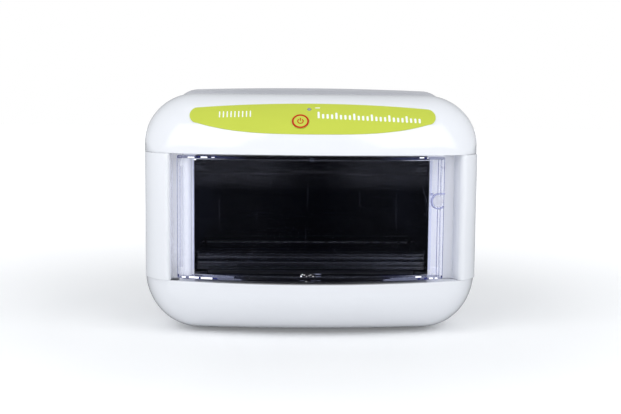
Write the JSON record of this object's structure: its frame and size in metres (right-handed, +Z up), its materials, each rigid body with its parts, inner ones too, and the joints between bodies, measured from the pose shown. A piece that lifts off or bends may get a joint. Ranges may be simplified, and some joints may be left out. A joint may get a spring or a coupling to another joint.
{
  "type": "uv sterilizer cabinet",
  "caption": "Countertop ultraviolet sterilizer cabinet with a bowed clear hinged door, a steel chamber with tray and lamp, and a push button on a sloped label.",
  "frame": {"origin": "centre of the footprint on the floor, at the feet's underside", "axes": "+X to the viewer's right when facing the door, -Y out of the front, +Z up"},
  "size_m": [0.37, 0.25, 0.269],
  "materials": {
    "gloss_white_plastic": "gloss",
    "grey_white_plastic": "satin",
    "yellow_green_label": "satin",
    "red_plastic": "satin",
    "grey_lens": "gloss",
    "clear_door_plastic": "gloss",
    "stainless_steel": "brushed",
    "black_plastic": "matte",
    "circuit_board": "matte",
    "quartz_glass": "gloss",
    "aluminium_cap": "satin",
    "white_plastic": "matte",
    "foot_rubber": "matte"
  },
  "bodies": {
    "cabinet": {"upper_front_shell": "gloss_white_plastic", "lower_front_shell": "gloss_white_plastic", "left_pillar": "gloss_white_plastic", "right_pillar": "gloss_white_plastic", "inner_front_frame": "gloss_white_plastic", "bezel_backplate": "gloss_white_plastic", "rear_housing": "grey_white_plastic", "rear_vent_panel": "grey_white_plastic", "control_label": "yellow_green_label", "status_led": "grey_lens", "inlet_blade_1": "stainless_steel", "inlet_blade_2": "stainless_steel", "inlet_blade_3": "stainless_steel", "back_screw_1": "stainless_steel", "back_screw_2": "stainless_steel", "back_screw_3": "stainless_steel", "back_screw_4": "stainless_steel", "chamber_floor": "stainless_steel", "chamber_ceiling": "stainless_steel", "chamber_left_wall": "stainless_steel", "chamber_right_wall": "stainless_steel", "chamber_back_wall": "stainless_steel", "tray_rail_left": "stainless_steel", "tray_rail_right": "stainless_steel", "lamp_reflector": "stainless_steel", "base_plate": "stainless_steel", "foot_screw_front_left": "stainless_steel", "foot_screw_front_right": "stainless_steel", "foot_screw_back_left": "stainless_steel", "foot_screw_back_right": "stainless_steel", "door_magnet": "black_plastic", "door_switch_body": "black_plastic", "button_switch_stem": "black_plastic", "button_switch_body": "black_plastic", "mains_inlet": "black_plastic", "control_board": "circuit_board", "ballast_case": "aluminium_cap", "lamp_socket_left": "white_plastic", "lamp_socket_right": "white_plastic", "terminal_block": "white_plastic", "foot_front_left": "foot_rubber", "foot_front_right": "foot_rubber", "foot_back_left": "foot_rubber", "foot_back_right": "foot_rubber"},
    "door": {"door_panel": "clear_door_plastic", "door_pull": "clear_door_plastic", "door_strike_plate": "stainless_steel", "hinge_pin_top": "stainless_steel", "hinge_pin_bottom": "stainless_steel"},
    "button": {"power_button": "red_plastic"},
    "switch_plunger": {"door_switch_plunger": "black_plastic"},
    "lamp": {"uv_lamp_tube": "quartz_glass", "lamp_cap_left": "aluminium_cap", "lamp_cap_right": "aluminium_cap"},
    "tray": {"instrument_tray": "stainless_steel"}
  },
  "joints": [
    {"name": "door_hinge", "type": "hinge", "parent": "cabinet", "child": "door", "pos_m": [-0.1409, -0.092, 0.129], "axis": [0, 0, -1], "range_deg": [0, 110]},
    {"name": "power_button_press", "type": "slide", "parent": "cabinet", "child": "button", "axis": [0.0252, 0.7815, -0.6234], "range_m": [0, 0.001], "stiffness_N_per_m": 600, "springref_m": -0.001},
    {"name": "door_switch_press", "type": "slide", "parent": "cabinet", "child": "switch_plunger", "axis": [0, 1, 0], "range_m": [0, 0.002], "stiffness_N_per_m": 300, "springref_m": -0.001},
    {"name": "lamp_twist", "type": "hinge", "parent": "cabinet", "child": "lamp", "pos_m": [0, -0.04, 0.18], "axis": [1, 0, 0], "range_deg": [0, 90]},
    {"name": "tray_slide", "type": "slide", "parent": "cabinet", "child": "tray", "axis": [0, -1, 0], "range_m": [-0.005, 0.008]}
  ]
}
